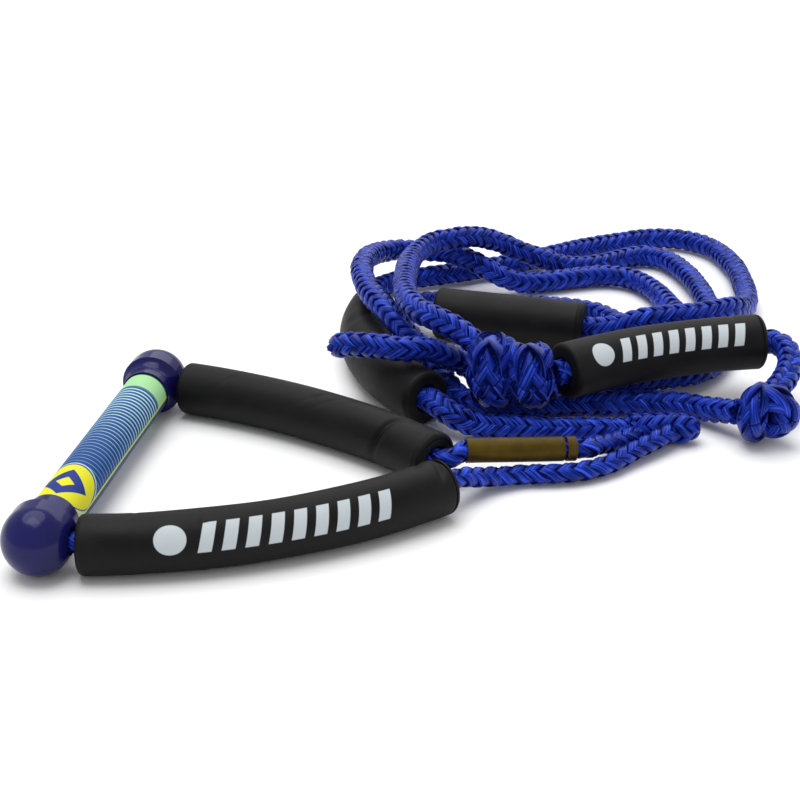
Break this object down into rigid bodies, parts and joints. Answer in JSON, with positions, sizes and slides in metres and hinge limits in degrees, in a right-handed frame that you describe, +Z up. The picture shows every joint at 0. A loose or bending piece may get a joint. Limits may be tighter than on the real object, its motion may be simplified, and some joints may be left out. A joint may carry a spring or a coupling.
{
  "type": "tow rope handle",
  "caption": "Water-sports tow handle: a foam grip with ball ends, a floating two-leg bridle with a label sleeve, and a braided mainline with foam floats laid in loose turns.",
  "frame": {"origin": "on the floor under the middle of the handle and its two leg floats", "axes": "+Z up, +Y along the handle towards its far ball, +X from the handle towards the bridle's apex"},
  "size_m": [0.4319, 0.6123, 0.0685],
  "materials": {
    "bar": "drawn tube",
    "grip_foam": "matt printed foam",
    "cap_plastic": "polished",
    "bridle_braid": "braided filament yarn",
    "mainline_braid": "braided filament yarn",
    "float_foam": "closed-cell foam with a soft sheen",
    "sleeve": "satin shrink tube"
  },
  "bodies": {
    "handle": {"handle_bar": "bar", "grip_pad": "grip_foam", "near_end_cap": "cap_plastic", "far_end_cap": "cap_plastic", "bridle_rope": "bridle_braid", "near_bridle_tail": "bridle_braid", "far_bridle_tail": "bridle_braid", "label_sleeve": "sleeve", "label_ring": "sleeve", "junction_splice": "mainline_braid", "mainline_first_turns": "mainline_braid", "mainline_second_turns": "mainline_braid", "stopper_knot": "mainline_braid", "mainline_front_run": "mainline_braid", "loop_knot": "mainline_braid", "mainline_last_turns": "mainline_braid"},
    "near_leg_float_body": {"near_leg_float": "float_foam"},
    "far_leg_float_body": {"far_leg_float": "float_foam"},
    "left_float_body": {"left_float": "float_foam"},
    "back_float_body": {"back_float": "float_foam"},
    "front_float_body": {"front_float": "float_foam"}
  },
  "joints": [
    {"name": "near_leg_float_slide", "type": "hinge", "parent": "handle", "child": "near_leg_float_body", "pos_m": [-0.125, 0.202, 0], "axis": [0, 0, 1], "range_deg": [-0.25, 0.6]},
    {"name": "far_leg_float_slide", "type": "hinge", "parent": "handle", "child": "far_leg_float_body", "pos_m": [-0.145, -0.28, 0], "axis": [0, 0, 1], "range_deg": [-0.08, 0.08]},
    {"name": "left_float_slide", "type": "hinge", "parent": "handle", "child": "left_float_body", "pos_m": [0.193, 0.241, 0], "axis": [0, 0, 1], "range_deg": [-0.9, 1.2]},
    {"name": "back_float_slide", "type": "slide", "parent": "handle", "child": "back_float_body", "axis": [0.9926, -0.1217, 0], "range_m": [-0.002, 0.002]},
    {"name": "front_float_slide", "type": "hinge", "parent": "handle", "child": "front_float_body", "pos_m": [0.384, -0.121, 0], "axis": [0, 0, 1], "range_deg": [-0.3, 0.4]}
  ]
}
